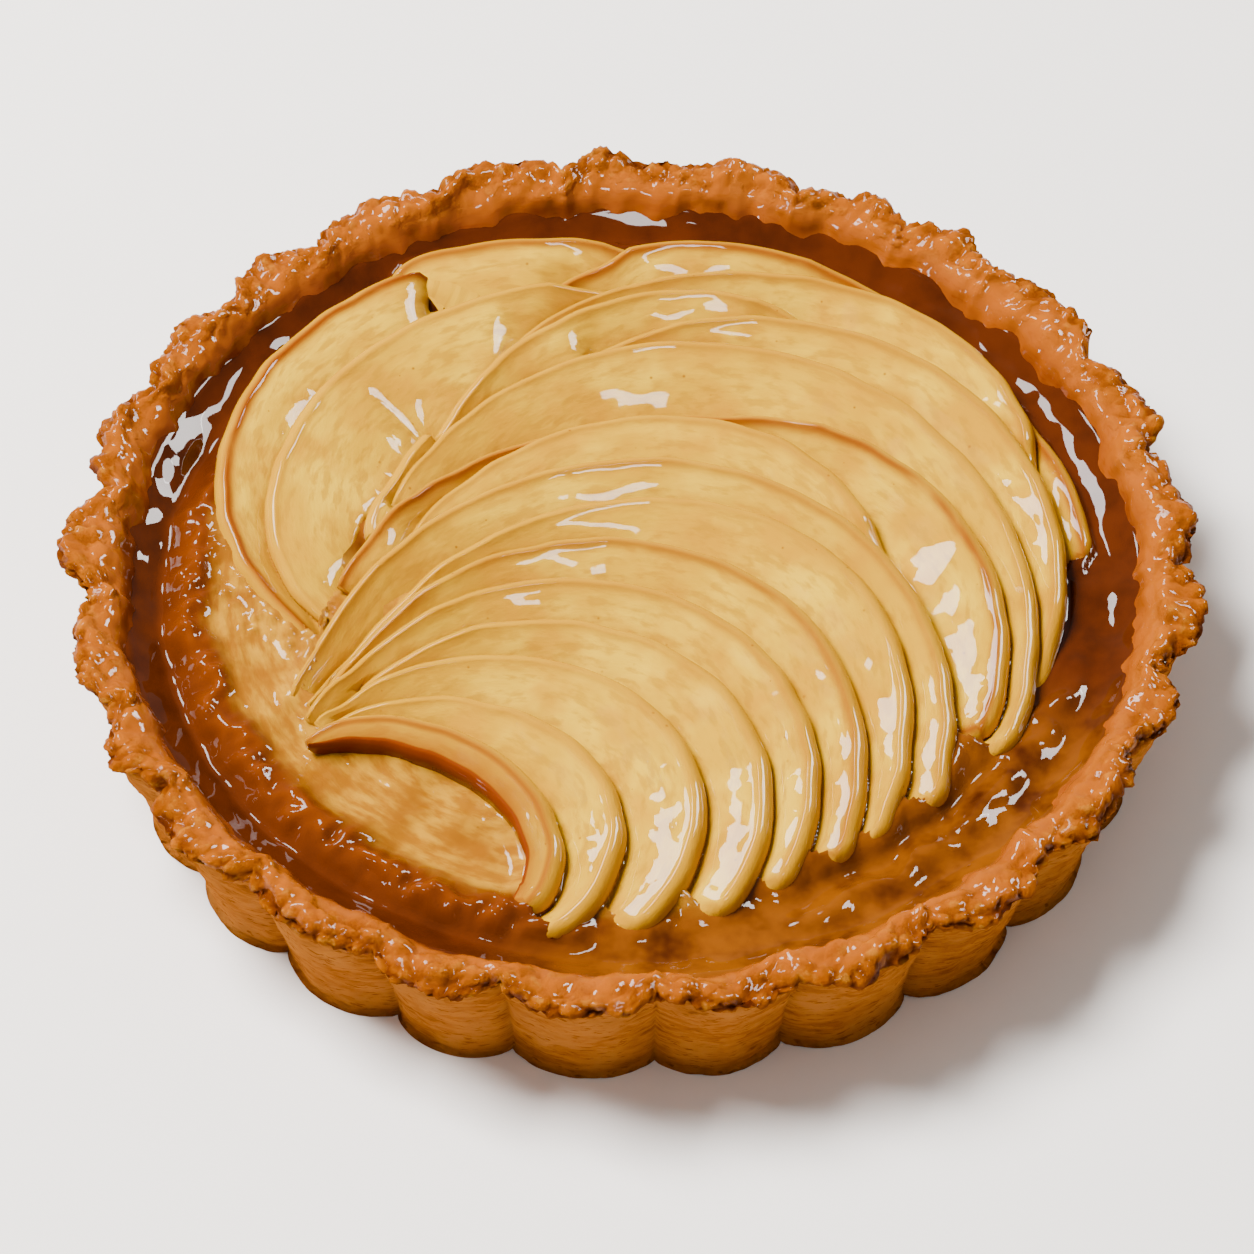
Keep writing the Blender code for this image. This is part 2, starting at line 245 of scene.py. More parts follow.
# Soft-edged patches of browning, glaze or bruise, about Spacing across, over about Cover of the surface
patches, inside, outside = new_group(
    "patches",
    [
        ("Vector", "Vector"),
        ("Spacing", "Float", 5.0),
        ("Cover", "Float", 0.5),
        ("Softness", "Float", 0.1),
        ("Detail", "Float", 3.0),
    ],
    [("Mask", "Float")],
)
scale = sums(patches, "DIVIDE", 1.0, inside.outputs["Spacing"])
drift = cloud(patches, inside.outputs["Vector"], scale, inside.outputs["Detail"], 0.55)
edge = sums(patches, "SUBTRACT", 1.0, inside.outputs["Cover"])
edge = sums(patches, "MULTIPLY_ADD", edge, 0.5, 0.25)
low = sums(patches, "SUBTRACT", edge, inside.outputs["Softness"])
high = sums(patches, "ADD", edge, inside.outputs["Softness"])
ramp = eased(patches, drift, low, high, 0.0, 1.0)
patches.links.new(ramp, outside.inputs["Mask"])

# Small dark or pale dots, one to a cell of Spacing, in the given share of the cells
dots, inside, outside = new_group(
    "dots",
    [("Vector", "Vector"), ("Spacing", "Float", 3.0), ("Share", "Float", 0.2), ("Size", "Float", 0.12)],
    [("Mask", "Float")],
)
scale = sums(dots, "DIVIDE", 1.0, inside.outputs["Spacing"])
cells = node(dots, "ShaderNodeTexVoronoi", {"Vector": inside.outputs["Vector"], "Scale": scale})
chosen = node(dots, "ShaderNodeSeparateColor", {0: cells.outputs["Color"]})
kept = sums(dots, "LESS_THAN", chosen.outputs[0], inside.outputs["Share"])
reach = sums(dots, "MULTIPLY_ADD", chosen.outputs[1], inside.outputs["Size"], 0.03)
close = eased(dots, cells.outputs["Distance"], 0.0, reach, 1.0, 0.0)
both = sums(dots, "MULTIPLY", kept, close)
dots.links.new(both, outside.inputs["Mask"])


def patch_mask(tree, vector, spacing, cover, softness=0.1, detail=3.0):
    made = node(tree, "ShaderNodeGroup", node_tree=patches)
    tree.links.new(vector, made.inputs["Vector"])
    for name, value in (("Spacing", spacing), ("Cover", cover), ("Softness", softness), ("Detail", detail)):
        made.inputs[name].default_value = value
    return made.outputs[0]


def dot_mask(tree, vector, spacing, share, size):
    made = node(tree, "ShaderNodeGroup", node_tree=dots)
    tree.links.new(vector, made.inputs["Vector"])
    for name, value in (("Spacing", spacing), ("Share", share), ("Size", size)):
        made.inputs[name].default_value = value
    return made.outputs[0]


def pastry_material():
    material, tree, shader = new_material(
        "baked_pastry", Specular_IOR_Level=0.0, Coat_Roughness=0.04, Coat_IOR=1.28
    )
    here = coordinates(tree)
    layers = coordinates(tree, (0.3, 0.3, 1.6))
    glaze = painted(tree, "glaze")
    torn = painted(tree, "torn")
    crack_shade = painted(tree, "crack_shade")
    # Wall: tan dough in fine level layers
    bands = patch_mask(tree, layers, 1.3, 0.5, 0.16, 5.0)
    wall = mixed(tree, bands, (0.40, 0.128, 0.016), (0.26, 0.070, 0.005))
    wall = mixed(tree, patch_mask(tree, here, 9.0, 0.42, 0.15), wall, (0.40, 0.138, 0.022))
    wall = mixed(tree, patch_mask(tree, layers, 0.55, 0.28, 0.06, 4.0), wall, (0.20, 0.055, 0.005))
    # Rim: torn crumb, brown where it caught, pale where a blister broke
    rim = mixed(tree, patch_mask(tree, here, 4.0, 0.5, 0.18), (0.33, 0.088, 0.0004), (0.21, 0.046, 0.0003))
    rim = mixed(tree, patch_mask(tree, here, 1.6, 0.28, 0.08), rim, (0.41, 0.155, 0.010))
    # Painted shade: near black down the cracks and in the low ground between the lumps of the crumb
    rim = mixed(tree, crack_shade, rim, (0.075, 0.012, 0.0005))
    crust = mixed(tree, torn, wall, rim)
    # Glaze: amber where it is thin, nearly brown where it ran thick
    sheets = patch_mask(tree, coordinates(tree, (1.0, 1.0, 0.6)), 8.0, 0.55, 0.18)
    amber = mixed(tree, sheets, (0.25, 0.050, 0.001), (0.13, 0.019, 0.0005))
    amber = mixed(tree, painted(tree, "thick"), (0.30, 0.072, 0.001), amber)
    wet_patches = patch_mask(tree, here, 5.0, 0.5, 0.05, 4.0)
    wet = sums(tree, "MULTIPLY_ADD", wet_patches, 0.5, glaze)
    wet = sums(tree, "MULTIPLY", wet, glaze, clamp=True)
    colour = mixed(tree, sums(tree, "MULTIPLY", wet, 0.85), crust, amber)
    tree.links.new(colour, shader.inputs["Base Color"])
    dry = sums(tree, "SUBTRACT", 1.0, wet, clamp=True)
    tree.links.new(sums(tree, "MULTIPLY_ADD", dry, 0.5, 0.12), shader.inputs["Roughness"])
    tree.links.new(wet, shader.inputs["Coat Weight"])
    grain = cloud(tree, coordinates(tree, (0.45, 0.45, 2.0)), 1.3, 6.0, 0.65)
    crumb = cloud(tree, here, 1.6, 6.0, 0.7)
    relief = node(tree, "ShaderNodeMix", {0: torn, 2: grain, 3: crumb}, data_type="FLOAT").outputs[0]
    bumped(tree, shader, sums(tree, "MULTIPLY", relief, dry), 0.9, 0.0007)
    return material


def nearest_two(place, spacing):
    """Distances to the nearest two of a scatter of points about this far apart, in spacings."""
    return noise.voronoi(place / spacing)[0][:2]


def kept_row(row):
    radius, height = row[:2]
    corner = CORNER_FROM < radius < CORNER_TO and height < CORNER_TOP
    return radius > FINE_FROM or radius < PROFILE_STEP or corner


# noise_vector draws its offsets from this seed, so each run gives the same crumb
noise.seed_set(5)
profile = [row for row in drawn_through(CASE_PROFILE, PROFILE_STEP) if kept_row(row)]
columns = []
valley = FIRST_VALLEY
for width in FLUTE_WIDTHS:
    for step in range(COLUMNS_PER_FLUTE):
        share = step / COLUMNS_PER_FLUTE
        columns.append((radians(valley + width * share), sin(pi * share) ** FLUTE_ROUNDNESS))
    valley += width

bm, ring = turned([row[:2] for row in profile], len(columns))
glaze, torn, crack_shade, thick = float_layers(bm, "glaze", "torn", "crack_shade", "thick")
for vert in bm.verts:
    number = vert[ring]
    radius, height, crumb, glazed = profile[number]
    if radius < 1.0:
        continue
    before, after = profile[max(number - 1, 0)], profile[min(number + 1, len(profile) - 1)]
    out, up = Vector((after[1] - before[1], before[0] - after[0])).normalized()
    turn = atan2(vert.co.y, vert.co.x) / (2 * pi)
    angle, swell = columns[round(turn * len(columns)) % len(columns)]
    outer_share = clamped((radius - wall_radius(height)) / FLUTE_FADE)
    around = Vector((cos(angle), sin(angle), 0.0))
    place = around * (radius - FLUTE_DEPTH * (1.0 - swell) * outer_share) + Vector((0.0, 0.0, height))
    normal = around * out + Vector((0.0, 0.0, up))
    # The same swells and crags as the solid, then the crumb
    crag = crumb * CRAG_HEIGHT
    place.z += crumb * RIM_SWELL * noise.noise(around * RIM_RADIUS / RIM_SWELL_SPACING)
    place += around * crag * 0.7 * noise.noise(place / CRAG_SPACING)
    place.z += 0.6 * crag * noise.noise(place / CRAG_SPACING + Vector((31.0, 7.0, 3.0)))
    relief = 0.0
    rough = crumb * (1.0 - 0.5 * glazed)
    if crumb > 0.0:
        warp = place + 0.5 * noise.noise_vector(place / 1.7)
        near, second = nearest_two(warp, CRUMB_SPACING)
        crack = hump(second - near, CRACK_WIDTH)
        fine, fine_second = nearest_two(warp, FINE_CRUMB_SPACING)
        fine_crack = hump(fine_second - fine, FINE_CRACK_WIDTH)
        lump = sqrt(max(1.0 - (near / LUMP_REACH) ** 2, 0.0)) - 0.75
        relief = LUMP_HEIGHT * lump + FINE_LUMP_HEIGHT * (0.42 - fine) + 0.6 * noise.noise(place / 3.1)
        relief = rough * (relief - CRACK_DEPTH * crack - FINE_CRACK_DEPTH * fine_crack)
        # Painted shade for the rim: most in the cracks, and more the farther from a lump's top
        vert[crack_shade] = clamped(rough * (1.3 * crack + 0.6 * fine_crack + 1.2 * (near - 0.5)))
    if glazed < 1.0:
        level = Vector((place.x / 7.0, place.y / 7.0, place.z / LAYER_SPACING))
        layering = LAYER_HEIGHT * noise.noise(level)
        layering += WALL_WAVE_HEIGHT * noise.noise(place / WALL_WAVE_SPACING)
        relief += (1.0 - crumb) * (1.0 - glazed) * outer_share * layering
    if glazed > 0.0:
        # Runs and sags in the glaze on the inner wall
        run = noise.noise(Vector((cos(angle) * 26.0, sin(angle) * 26.0, height / 9.0)))
        sag = noise.noise(Vector((cos(angle) * 9.0, sin(angle) * 9.0, height / 7.0 + 5.0)))
        flow = RUN_HEIGHT * run + SAG_HEIGHT * sag + RIPPLE_HEIGHT * noise.noise(place / 2.2)
        relief += glazed * (1.0 - crumb) * flow
    # Nothing stands out of the flat underside
    if height < 0.3:
        relief = min(relief, 0.0)
    vert.co = place + normal * relief
    vert.co.z = clamped(vert.co.z, 0.0, HIGHEST)
    vert[glaze] = glazed
    vert[torn] = clamped((crumb - 0.3) / 0.5)
    vert[thick] = clamped((THIN_GLAZE_LEVEL - place.z) / THICK_GLAZE_DROP)
crust = finished("pastry_case", bm, pastry_material())
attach(crust, "root")
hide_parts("crust")

# The apple slices: thin half-moons cut from peeled apples, laid in a fan with each on the one behind, and
# baked till the flesh is gold and its thin upper edge browns. Warm jelly is brushed over them last.
FILLING_LEVEL = 15.0
STATIONS = 110
NOSE_ROWS = 8
NOSE_RADIUS = 3.2
SIDE_ROWS = 8
FACE_ROWS = 24
UNDER_ROWS = 4
PEEL_THICKNESS = 2.4
PEEL_OVERHANG = 1.8
FACE_SLOPE = 0.33
TUCK = 3.0
# How far a slice stays under the ones above it, and the height given where none is above
CLEARANCE = 0.06
OPEN_ABOVE = 1000.0
# How far a slice goes on under its cover at either end, as a share of its length
LEFT_REACH = 0.015
RIGHT_REACH = 0.05
SEARCH_STEPS = 200
# The stations and the rows of the face stand closer together toward the right end and the upper edge
CROWDING = 1.3
# The face: its swell, the waves in it and how far it lies below its own edges
FACE_SWELL = 0.05
WAVE_HEIGHT = 0.13
WAVE_SPACING = 3.2
PORE_HEIGHT = 0.05
PORE_SPACING = 1.2
EDGE_LIP = 0.18
EDGE_ROUNDING = 0.8
EDGE_WANDER = 0.35
# Where the left tip lies, the way of the straight edge and its length, the bow of the peel side and its
# lean, the heights of left tip, crest and right tip, the face's width, its share at the left tip, the core
# side's thickness and how brown the upper edge is. The top slice comes first.
Slice = namedtuple("Slice", "x y heading chord bulge slant left crest right band tip core toast")
SLICES = (
    Slice(-38.5, -29.0, -42.0, 35.0, 12.0, 0.17, 18.8, 20.8, 17.6, 3.2, 0.1, 4.4, 0.8),
    Slice(-37.5, -27.0, -45.5, 39.5, 19.0, 0.21, 18.1, 20.2, 16.9, 16.0, 0.5, 1.3, 0.1),
    Slice(-37.5, -25.5, -37.5, 47.5, 24.0, 0.16, 17.9, 21.0, 16.8, 16.0, 0.5, 1.3, 0.1),
    Slice(-37.5, -25.5, -29.5, 54.5, 27.5, 0.12, 17.7, 21.5, 16.8, 16.0, 0.5, 1.3, 0.1),
    Slice(-38.5, -24.5, -23.5, 60.5, 31.0, 0.09, 17.5, 21.8, 16.7, 16.0, 0.5, 1.3, 0.3),
    Slice(-38.5, -24.0, -18.5, 65.5, 35.0, 0.07, 17.3, 22.0, 16.7, 16.0, 0.5, 1.3, 0.6),
    Slice(-38.5, -22.0, -16.5, 69.5, 40.0, 0.14, 17.1, 22.0, 16.6, 16.0, 0.5, 1.3, 0.1),
    Slice(-40.5, -20.5, -12.0, 77.5, 42.0, 0.07, 16.9, 22.0, 16.6, 16.0, 0.5, 1.3, 0.4),
    Slice(-27.0, 4.0, -34.0, 61.0, 36.0, 0.01, 18.0, 20.8, 16.8, 16.0, 0.5, 1.3, 0.2),
    Slice(-35.5, -4.0, -16.0, 80.0, 39.0, 0.11, 17.8, 21.5, 16.8, 16.0, 0.5, 1.3, 0.9),
    Slice(-29.5, 9.5, -27.0, 82.5, 42.0, -0.05, 17.6, 21.2, 16.7, 16.0, 0.5, 1.3, 0.2),
    Slice(-26.0, 12.0, -23.5, 80.0, 43.0, 0.03, 17.4, 21.0, 16.7, 16.0, 0.5, 1.3, 0.3),
    Slice(-29.5, -10.0, 14.0, 70.5, 43.5, 0.16, 17.0, 20.6, 16.7, 16.0, 0.5, 1.3, 0.3),
    Slice(-17.5, 32.5, -23.0, 69.0, 28.5, 0.14, 17.0, 20.2, 16.7, 16.0, 0.5, 1.3, 0.4),
    Slice(-31.0, 4.5, 55.0, 41.5, 4.5, -0.29, 16.3, 18.3, 17.0, 10.0, 0.5, 1.3, 0.1),
    Slice(-37.0, -8.0, 39.5, 72.0, 29.5, -0.10, 16.0, 20.0, 17.5, 14.0, 0.1, 1.3, 0.1),
    Slice(-22.0, 14.5, -9.0, 79.0, 43.0, -0.24, 16.5, 19.6, 16.0, 16.0, 0.5, 1.3, 0.9),
    Slice(-30.5, 49.0, 5.0, 32.5, 4.5, -0.14, 16.3, 18.0, 16.5, 12.5, 0.9, 1.3, 0.8),
    Slice(-27.0, -18.0, 57.0, 82.5, 43.0, -0.17, 15.8, 18.8, 16.5, 10.0, 0.1, 1.3, 1.0),
)


def bead(piece, t):
    """A point on the upper edge of the peel side, from the left tip at t = 0 to the right tip at t = 1."""
    out = piece.bulge * sin(pi * t)
    along = piece.chord * (1.0 - cos(pi * t)) / 2 + piece.slant * out
    heading = radians(piece.heading)
    lift = max(sin(pi * t), 0.0) ** 0.7
    level = piece.left * (1.0 - t) + piece.right * t
    return Vector((
        piece.x + along * cos(heading) - out * sin(heading),
        piece.y + along * sin(heading) + out * cos(heading),
        level + (piece.crest - (piece.left + piece.right) / 2) * lift,
    ))


def inward(piece, t):
    run = bead(piece, min(t + 0.004, 1.0)) - bead(piece, max(t - 0.004, 0.0))
    return Vector((run.y, -run.x, 0.0)).normalized()


def fullness(t, left, right):
    """1 along the middle of a slice, falling to these shares at its left and right tips."""
    least = left if t < 0.5 else right
    return least + (1.0 - least) * max(sin(pi * t), 0.0) ** 0.5


def underside(cover, place):
    """The lowest height at which the slices laid so far cover this place, or None."""
    if cover is None:
        return None
    hit = cover.ray_cast(Vector((place.x, place.y, 0.0)), Vector((0.0, 0.0, 1.0)))[0]
    return hit.z if hit else None


def ceiling(cover, place, margin=0.35):
    """How high a surface may reach at this place and close round it."""
    offsets = [Vector((x * margin, y * margin, 0.0)) for x, y in ((0, 0), (1, 0), (-1, 0), (0, 1), (0, -1))]
    heights = [underside(cover, place + offset) for offset in offsets]
    return min((height for height in heights if height is not None), default=OPEN_ABOVE) - CLEARANCE


def face(piece, cover, t):
    """How wide the face shows at t, how far the slice reaches in, and its height at the cover."""
    top = bead(piece, t)
    into = inward(piece, t)
    band = piece.band * fullness(t, piece.tip, 0.6)
    shown = 0.0
    while shown < band and underside(cover, top + into * shown) is None:
        shown += 0.2
    if shown >= band:
        return band, band, max(top.z - FACE_SLOPE * band, min(top.z - 0.4, FILLING_LEVEL + 1.0))
    shown = max(shown, 0.4)
    height = ceiling(cover, top + into * (shown + 0.3))
    return shown, shown + TUCK * fullness(t, 0.25, 0.7), min(height, top.z - FACE_SLOPE * shown)


def smoothed(rows, rounds):
    for _ in range(rounds):
        threes = zip(rows, rows[1:], rows[2:])
        middle = [tuple((a + 2.0 * b + c) / 4.0 for a, b, c in zip(*three)) for three in threes]
        rows = [rows[0], *middle, rows[-1]]
    return rows


# At one place along a slice: the bead, the way in from it, what face() says and what fullness() says
Station = namedtuple("Station", "bead into shown width low full")


class Laid:
    """One slice as it comes to lie: its bare stretch, measured along the bead from the right end."""

    def __init__(self, piece, number, cover):
        self.piece, self.number, self.cover, self.known = piece, number, cover, {}
        steps = [k / SEARCH_STEPS for k in range(SEARCH_STEPS + 1)]
        bare = [t for t in steps if ceiling(cover, bead(piece, t), 0.5) > OPEN_ABOVE / 2]
        start = max(min(bare) - LEFT_REACH, 0.0)
        end = min(max(bare) + RIGHT_REACH, 1.0)
        self.nose = NOSE_RADIUS if end > 0.99 else 0.0
        shares = [(1.0 - k / (STATIONS - 1)) ** CROWDING for k in range(STATIONS)]
        self.stops = [end - (end - start) * share for share in shares]
        self.rows = smoothed([face(piece, cover, t) for t in self.stops], 10)
        self.reach = [0.0]
        for t, following in zip(self.stops[::-1], self.stops[-2::-1]):
            self.reach.append(self.reach[-1] + (bead(piece, t) - bead(piece, following)).length)

    def across(self, s):
        """The Station at this distance from the right end."""
        if s not in self.known:
            k = clamped(bisect_left(self.reach, s), 1, STATIONS - 1)
            share = clamped((s - self.reach[k - 1]) / (self.reach[k] - self.reach[k - 1]))
            far, near = STATIONS - 1 - k, STATIONS - k
            t = self.stops[near] + (self.stops[far] - self.stops[near]) * share
            row = [a + (b - a) * share for a, b in zip(self.rows[near], self.rows[far])]
            top = bead(self.piece, t)
            into = inward(self.piece, t)
            top += into * EDGE_WANDER * noise.noise(Vector((top.x / 5.0, top.y / 5.0, self.number * 9.0)))
            self.known[s] = Station(top, into, *row, fullness(t, 0.25, 0.8))
        return self.known[s]

    def surface(self, s, run):
        """The upper surface, s from the right end and run in from the bead. Below 0 is over the side."""
        outside = max(-s, -run, 0.0)
        if s < self.nose and run < self.nose:
            a, b = self.nose - s, self.nose - run
            stretch = max(a, b) / hypot(a, b)
            s, run = self.nose - a * stretch, self.nose - b * stretch
        here = self.across(s)
        place = here.bead + here.into * run
        if s < 0.0:
            place += Vector((here.into.y, -here.into.x, 0.0)) * s
        high = min(here.bead.z, here.low + here.shown)
        share = clamped(run / here.shown)
        place.z = high + (here.low - high) * share - FACE_SLOPE * max(run - here.shown, 0.0)
        depth = clamped(min(run, max(s, 0.0)) / EDGE_ROUNDING)
        if depth > 0.0:
            swell = FACE_SWELL * min(here.shown, 8.0) * sin(pi * share)
            wave = Vector((place.x / WAVE_SPACING, place.y / WAVE_SPACING, self.number * 5.0))
            pore = Vector((place.x / PORE_SPACING, place.y / PORE_SPACING, self.number * 3.0))
            waves = WAVE_HEIGHT * noise.noise(wave) + PORE_HEIGHT * noise.noise(pore)
            place.z += depth * (swell + waves - EDGE_LIP * here.full)
        if outside > 0.0:
            over = clamped(outside / (PEEL_OVERHANG * here.full))
            place.z -= PEEL_THICKNESS * here.full * (1.0 - sqrt(1.0 - over**2))
        if self.cover and (outside > 0.0 or run > here.shown - 1.0 or s > self.reach[-1] - 3.0):
            place.z = min(place.z, ceiling(self.cover, place))
        place.z = min(place.z, HIGHEST)
        return place, run, here.shown

    def ring(self, s):
        """The ring of points at s: up the peel side, over the face and back along the underside."""
        here = self.across(max(s, 0.0))
        overhang = PEEL_OVERHANG * here.full
        runs = [-overhang * cos(pi / 2 * k / SIDE_ROWS) for k in range(SIDE_ROWS)]
        runs += [here.width * (k / (FACE_ROWS - 1)) ** CROWDING for k in range(FACE_ROWS)]
        points = [self.surface(s, run) for run in runs]
        last, foot = points[-1][0], points[0][0]
        lowered = 1.0 if s >= 0.0 else 0.3
        bottom = last + Vector((0.0, 0.0, -self.piece.core * here.full * lowered))
        heel = foot + Vector((0.0, 0.0, -0.4))
        for k in range(UNDER_ROWS):
            points.append((bottom.lerp(heel, (k / UNDER_ROWS) ** 1.5), here.width, here.shown))
        return points


def apple_material():
    material, tree, shader = new_material(
        "baked_apple", Specular_IOR_Level=0.0, Coat_Weight=1.0, Coat_Roughness=0.025, Coat_IOR=1.25
    )
    here = coordinates(tree)
    fibre = painted(tree, "fibre", "Vector")
    streaks = patch_mask(tree, fibre, 5.0, 0.5, 0.12, 4.0)
    flesh = mixed(tree, streaks, (0.50, 0.268, 0.0002), (0.62, 0.375, 0.006))
    flesh = mixed(tree, patch_mask(tree, here, 8.0, 0.4, 0.15), flesh, (0.46, 0.215, 0.0002))
    threads = sums(tree, "MULTIPLY", patch_mask(tree, fibre, 1.2, 0.4, 0.08, 5.0), 0.6)
    flesh = mixed(tree, threads, flesh, (0.36, 0.165, 0.0002))
    flesh = mixed(tree, painted(tree, "side"), flesh, (0.43, 0.20, 0.0002))
    # Painted shade in the crease where each slice goes under the one above it
    flesh = mixed(tree, painted(tree, "crease_shade"), flesh, (0.30, 0.115, 0.0003))
    toast = painted(tree, "toast")
    browned = sums(tree, "MULTIPLY", toast, patch_mask(tree, fibre, 4.0, 0.85, 0.15), clamp=True)
    flesh = mixed(tree, browned, flesh, (0.19, 0.038, 0.0005))
    flesh = mixed(tree, painted(tree, "burnt"), flesh, (0.15, 0.024, 0.0005))
    flesh = mixed(tree, dot_mask(tree, here, 2.0, 0.35, 0.14), flesh, (0.22, 0.07, 0.0005))
    tree.links.new(flesh, shader.inputs["Base Color"])
    pores = cloud(tree, fibre, 1.6, 5.0, 0.6)
    tree.links.new(sums(tree, "MULTIPLY_ADD", painted(tree, "edge"), 0.1, 0.22), shader.inputs["Roughness"])
    bumped(tree, shader, pores, 0.35, 0.0003)
    return material


baked_apple = apple_material()
ring_size = SIDE_ROWS + FACE_ROWS + UNDER_ROWS
cover = None
cover_points = []
cover_faces = []
for number, piece in enumerate(SLICES, 1):
    laid = Laid(piece, number, cover)
    nose_rows = range(NOSE_ROWS) if laid.nose else ()
    along = [-PEEL_OVERHANG * 0.75 * cos(pi / 2 * k / NOSE_ROWS) for k in nose_rows]
    along += laid.reach
    rings = [laid.ring(s) for s in along]
    bm = bmesh.new()
    bmesh.ops.create_grid(bm, x_segments=len(rings) - 1, y_segments=ring_size, size=0.5)
    edge, side, toast, crease_shade, burnt = float_layers(bm, "edge", "side", "toast", "crease_shade", "burnt")
    fibre = bm.verts.layers.float_vector.new("fibre")
    for vert in bm.verts:
        station = round((vert.co.x + 0.5) * (len(rings) - 1))
        row = round((vert.co.y + 0.5) * ring_size) % ring_size
        place, run, shown = rings[station][row]
        s = along[station]
        inner = min(run, s + 0.4) if laid.nose else run
        vert.co = place
        vert[fibre] = Vector((s * 0.3, run, number * 11.0))
        vert[edge] = hump(inner, 0.7)
        vert[side] = 0.8 if inner < 0.0 else 0.8 * exp(-inner / 0.9)
        vert[toast] = piece.toast * hump(inner - 0.15, 0.35 + 0.35 * piece.toast)
        if piece.core > 2.0 and inner > 0.0:
            vert[toast] = max(vert[toast], 0.3 + 0.5 * run / piece.band)
        # Painted shade along the line where the face goes under the slice above
        if run < piece.band * 0.97:
            vert[crease_shade] = 0.75 * exp(-abs(run - shown) / 0.7) * min(shown / 2.0, 1.0)
        vert[burnt] = 1.0 if row >= SIDE_ROWS + FACE_ROWS - 3 and piece.core > 2.0 else 0.0
    bmesh.ops.remove_doubles(bm, verts=bm.verts, dist=0.0001)
    bmesh.ops.holes_fill(bm, edges=[one for one in bm.edges if one.is_boundary], sides=0)
    start_index = len(cover_points)
    bm.verts.index_update()
    cover_points += [vert.co.copy() for vert in bm.verts]
    cover_faces += [[start_index + vert.index for vert in one.verts] for one in bm.faces]
    cover = BVHTree.FromPolygons(cover_points, cover_faces)
    apple = finished(f"apple_slice_{number:02d}_baked", bm, baked_apple)
    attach(apple, "root")
    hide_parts(f"apple_slice_{number:02d}")

# The filling: apple compote spread in the case and flooded with clear amber jelly. It sets in a thick dark
# roll along the left, lies as pale pulp inside that, and runs in ridges and troughs round the fruit.
FILLING_COLUMNS = 780
ROLL_RADIUS = 54.0
ROLL_WIDTH = 2.6
ROLL_HEIGHT = 2.8
MENISCUS = 0.8
MENISCUS_REACH = 1.2
# How far the filling stays under the fruit's faces, how far round that counts, and how far it runs into
# the case
FRUIT_CLEARANCE = 0.5
FRUIT_ROUND = 1.5
CASE_OVERLAP = 2.6
# Radius and height of the hidden underside and side, and the radii of the rows on top, which jelly() raises
HIDDEN_PROFILE = ((0.0, 4.3), (56.0, 4.3), (57.2, 5.8), (58.8, 11.5))
TOP_RADII = (0.0, 20.0, 32.0, *(32.5 + 0.44 * k for k in range(71)))
START_HEIGHT = 12.0
# Where each form lies round the tart, in degrees from the right: from, to and the fade at both ends
ROLL_ARC = (158.0, 270.0, 16.0)
PULP_ARC = (160.0, 284.0, 10.0)
FLOOD_ARC = (266.0, 385.0, 12.0)
RIDGE_ARC = (285.0, 350.0, 12.0)
TROUGH_ARC = (285.0, 385.0, 12.0)
GUTTER_ARC = (150.0, 272.0, 10.0)
FRONT_ARC = (250.0, 345.0, 20.0)
# Radius, half width, and height or depth
RIDGE_RADIUS, RIDGE_WIDTH, RIDGE_HEIGHT = 55.6, 1.8, 1.3
TROUGH_RADIUS, TROUGH_WIDTH, TROUGH_DEPTH = 52.4, 1.6, 0.7
GUTTER_RADIUS, GUTTER_WIDTH, GUTTER_DEPTH = 57.6, 1.4, 0.8
PULP_HEIGHT = 0.9
FLOOD_HEIGHT = 0.9
# The bare place between the two leftmost slices and the fan, where the jelly lies clear of pulp
HOLLOW_X, HOLLOW_Y, HOLLOW_WIDTH = -34.0, 6.0, 7.0
# Where small bubbles stand in the jelly: x, y and how far round that
BUBBLES = ((-51.0, 3.0, 3.0), (-49.0, -3.0, 3.0), (-45.0, -8.5, 3.0), (-40.0, -11.5, 3.0))
BUBBLE_SPACING = 1.5
BUBBLE_HEIGHT = 0.55


def window(value, start, end, fade):
    """1 between start and end, fading to 0 over the last stretch on each side."""
    rising = clamped((value - start) / fade)
    falling = clamped((end - value) / fade)
    return rising * rising * (3 - 2 * rising) * falling * falling * (3 - 2 * falling)


